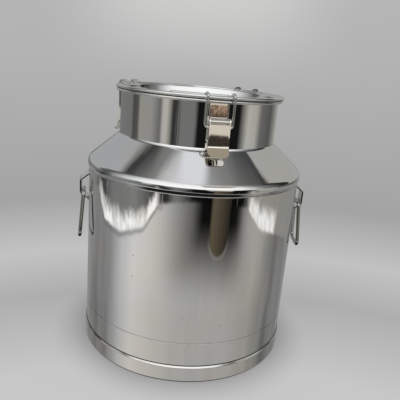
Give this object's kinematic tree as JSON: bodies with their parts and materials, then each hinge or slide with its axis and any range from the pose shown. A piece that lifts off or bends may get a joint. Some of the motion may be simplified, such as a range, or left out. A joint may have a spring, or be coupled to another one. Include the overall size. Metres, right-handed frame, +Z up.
{
  "type": "milk can",
  "caption": "Polished stainless steel milk can with a sloping shoulder, wide neck, sealed dished lid, over-centre toggle latches and hinged ring handles.",
  "frame": {"origin": "centre of the foot ring's resting plane, on the can's axis", "axes": "+Z up along the can's axis; +X towards one ring handle, with the other 12 degrees in front of -X; -Y is the front, 12.5 degrees from the front latch"},
  "size_m": [0.3176, 0.2936, 0.3589],
  "materials": {
    "steel_body": "mirror-polished 304 stainless sheet",
    "steel_base": "mirror-polished pressed stainless sheet",
    "steel_foot": "polished stainless band",
    "steel_shoulder": "mirror-polished pressed stainless sheet",
    "steel_neck": "mirror-polished rolled stainless sheet",
    "steel_lid": "mirror-polished pressed stainless sheet",
    "steel_bar": "polished stainless bar",
    "steel_strap": "polished stainless strip",
    "steel_wire": "polished stainless wire",
    "steel_pin": "turned stainless pin",
    "steel_latch": "polished stainless strip",
    "silicone": "translucent white silicone, satin"
  },
  "bodies": {
    "can": {"body_shell": "steel_body", "base_pan": "steel_base", "foot_ring": "steel_foot", "shoulder": "steel_shoulder", "neck_collar": "steel_neck", "latch_front_bracket": "steel_latch", "latch_left_bracket": "steel_latch", "latch_rear_bracket": "steel_latch", "latch_front_pin": "steel_pin", "latch_left_pin": "steel_pin", "latch_rear_pin": "steel_pin", "handle_right_strap": "steel_strap", "handle_left_strap": "steel_strap"},
    "lid": {"lid": "steel_lid", "lid_gasket": "silicone", "lid_grip": "steel_bar"},
    "lever_front": {"latch_front_lever": "steel_latch"},
    "bail_front": {"latch_front_bail": "steel_wire"},
    "lever_left": {"latch_left_lever": "steel_latch"},
    "bail_left": {"latch_left_bail": "steel_wire"},
    "lever_rear": {"latch_rear_lever": "steel_latch"},
    "bail_rear": {"latch_rear_bail": "steel_wire"},
    "ring_right": {"handle_right_ring": "steel_wire"},
    "ring_left": {"handle_left_ring": "steel_wire"}
  },
  "joints": [
    {"name": "lid_lift", "type": "slide", "parent": "can", "child": "lid", "axis": [0, 0, 1], "range_m": [0, 0.12]},
    {"name": "latch_front_lever", "type": "hinge", "parent": "can", "child": "lever_front", "pos_m": [0.02485, -0.11208, 0.3265], "axis": [-0.9763, -0.2164, 0], "range_deg": [0, 150]},
    {"name": "latch_front_bail", "type": "hinge", "parent": "lever_front", "child": "bail_front", "pos_m": [0.02457, -0.11081, 0.3195], "axis": [-0.9763, -0.2164, 0], "range_deg": [-178, 0]},
    {"name": "latch_left_lever", "type": "hinge", "parent": "can", "child": "lever_left", "pos_m": [-0.10788, 0.03926, 0.3265], "axis": [0.342, 0.9397, 0], "range_deg": [0, 150]},
    {"name": "latch_left_bail", "type": "hinge", "parent": "lever_left", "child": "bail_left", "pos_m": [-0.10666, 0.03882, 0.3195], "axis": [0.342, 0.9397, 0], "range_deg": [-178, 0]},
    {"name": "latch_rear_lever", "type": "hinge", "parent": "can", "child": "lever_rear", "pos_m": [0.07379, 0.08794, 0.3265], "axis": [0.766, -0.6428, 0], "range_deg": [0, 150]},
    {"name": "latch_rear_bail", "type": "hinge", "parent": "lever_rear", "child": "bail_rear", "pos_m": [0.07296, 0.08695, 0.3195], "axis": [0.766, -0.6428, 0], "range_deg": [-178, 0]},
    {"name": "handle_right_swing", "type": "hinge", "parent": "can", "child": "ring_right", "pos_m": [0.15185, 0, 0.2102], "axis": [0, -1, 0], "range_deg": [0, 150]},
    {"name": "handle_left_swing", "type": "hinge", "parent": "can", "child": "ring_left", "pos_m": [-0.14853, -0.03157, 0.2102], "axis": [-0.2079, 0.9781, 0], "range_deg": [0, 150]}
  ],
  "couplings": [
    {"joint": "latch_front_bail", "follows": "latch_front_lever", "ratio": -1.18},
    {"joint": "latch_left_bail", "follows": "latch_left_lever", "ratio": -1.18},
    {"joint": "latch_rear_bail", "follows": "latch_rear_lever", "ratio": -1.18}
  ]
}
